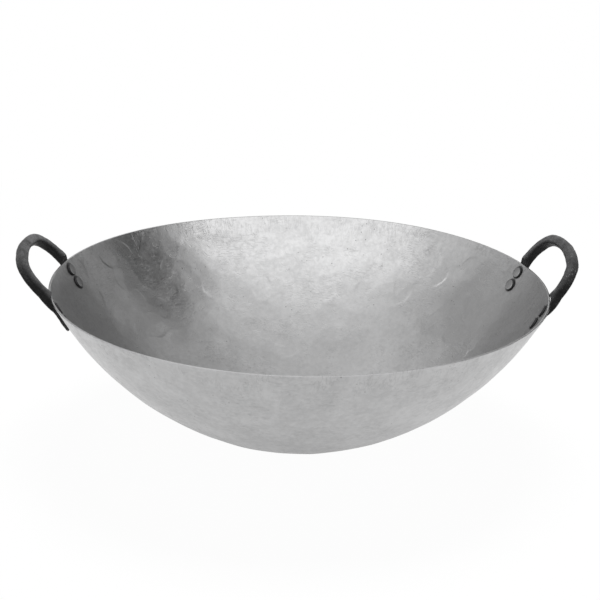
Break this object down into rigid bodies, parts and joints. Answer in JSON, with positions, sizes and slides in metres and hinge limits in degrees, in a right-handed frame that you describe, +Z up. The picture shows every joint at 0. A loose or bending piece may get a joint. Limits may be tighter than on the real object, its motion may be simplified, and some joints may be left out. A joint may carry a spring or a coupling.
{
  "type": "carbon steel wok",
  "caption": "Round-bottomed hammered carbon steel wok with riveted forged loop handles on opposite sides of the rim.",
  "frame": {"origin": "centre of the small hammered flat under the bowl, on the surface that the wok stands on", "axes": "+Z up along the bowl's axis, +X towards the right handle, -Y towards the front"},
  "size_m": [0.5087, 0.4568, 0.1903],
  "materials": {
    "bowl_steel": "bare hammered carbon steel, satin, mottled grey",
    "handle_steel": "forged bar with dark scale, semi-matte",
    "rivet_steel": "bare steel, satin"
  },
  "bodies": {
    "root": {"bowl": "bowl_steel", "handle_left": "handle_steel", "handle_right": "handle_steel", "rivet_left_front_upper": "rivet_steel", "rivet_left_front_lower": "rivet_steel", "rivet_left_back_upper": "rivet_steel", "rivet_left_back_lower": "rivet_steel", "rivet_right_front_upper": "rivet_steel", "rivet_right_front_lower": "rivet_steel", "rivet_right_back_upper": "rivet_steel", "rivet_right_back_lower": "rivet_steel"}
  },
  "joints": []
}
